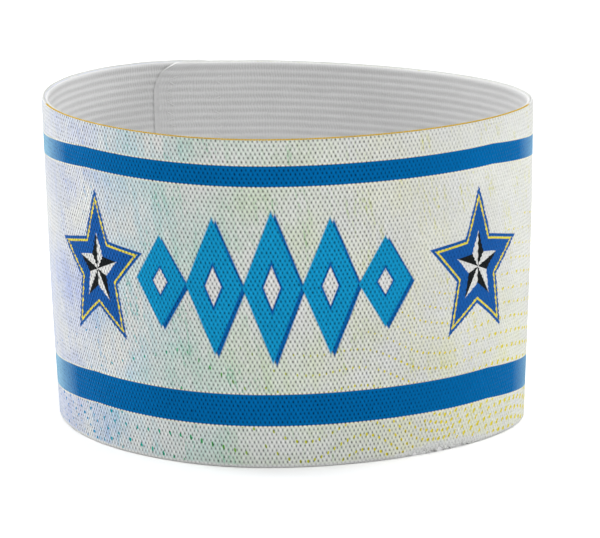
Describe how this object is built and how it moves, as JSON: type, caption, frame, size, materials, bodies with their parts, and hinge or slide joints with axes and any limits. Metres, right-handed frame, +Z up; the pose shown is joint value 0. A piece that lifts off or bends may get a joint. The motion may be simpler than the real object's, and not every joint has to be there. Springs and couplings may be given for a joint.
{
  "type": "captain armband",
  "caption": "Wide elastic armband: one woven strap bent into a loop with lapped, sewn ends, smooth outside and ribbed inside, standing on its lower edge.",
  "frame": {"origin": "centre of the band's box, on the plane that its lower edge stands on", "axes": "+Z up along the arm that the band goes round, -Y towards the printed front, +X to the right seen from the front"},
  "size_m": [0.1138, 0.1016, 0.075],
  "materials": {
    "elastic_weave": "white woven elastic, matt, with blue stripes and a pale wash printed on its outer face"
  },
  "bodies": {
    "root": {"elastic_band": "elastic_weave"}
  },
  "joints": []
}
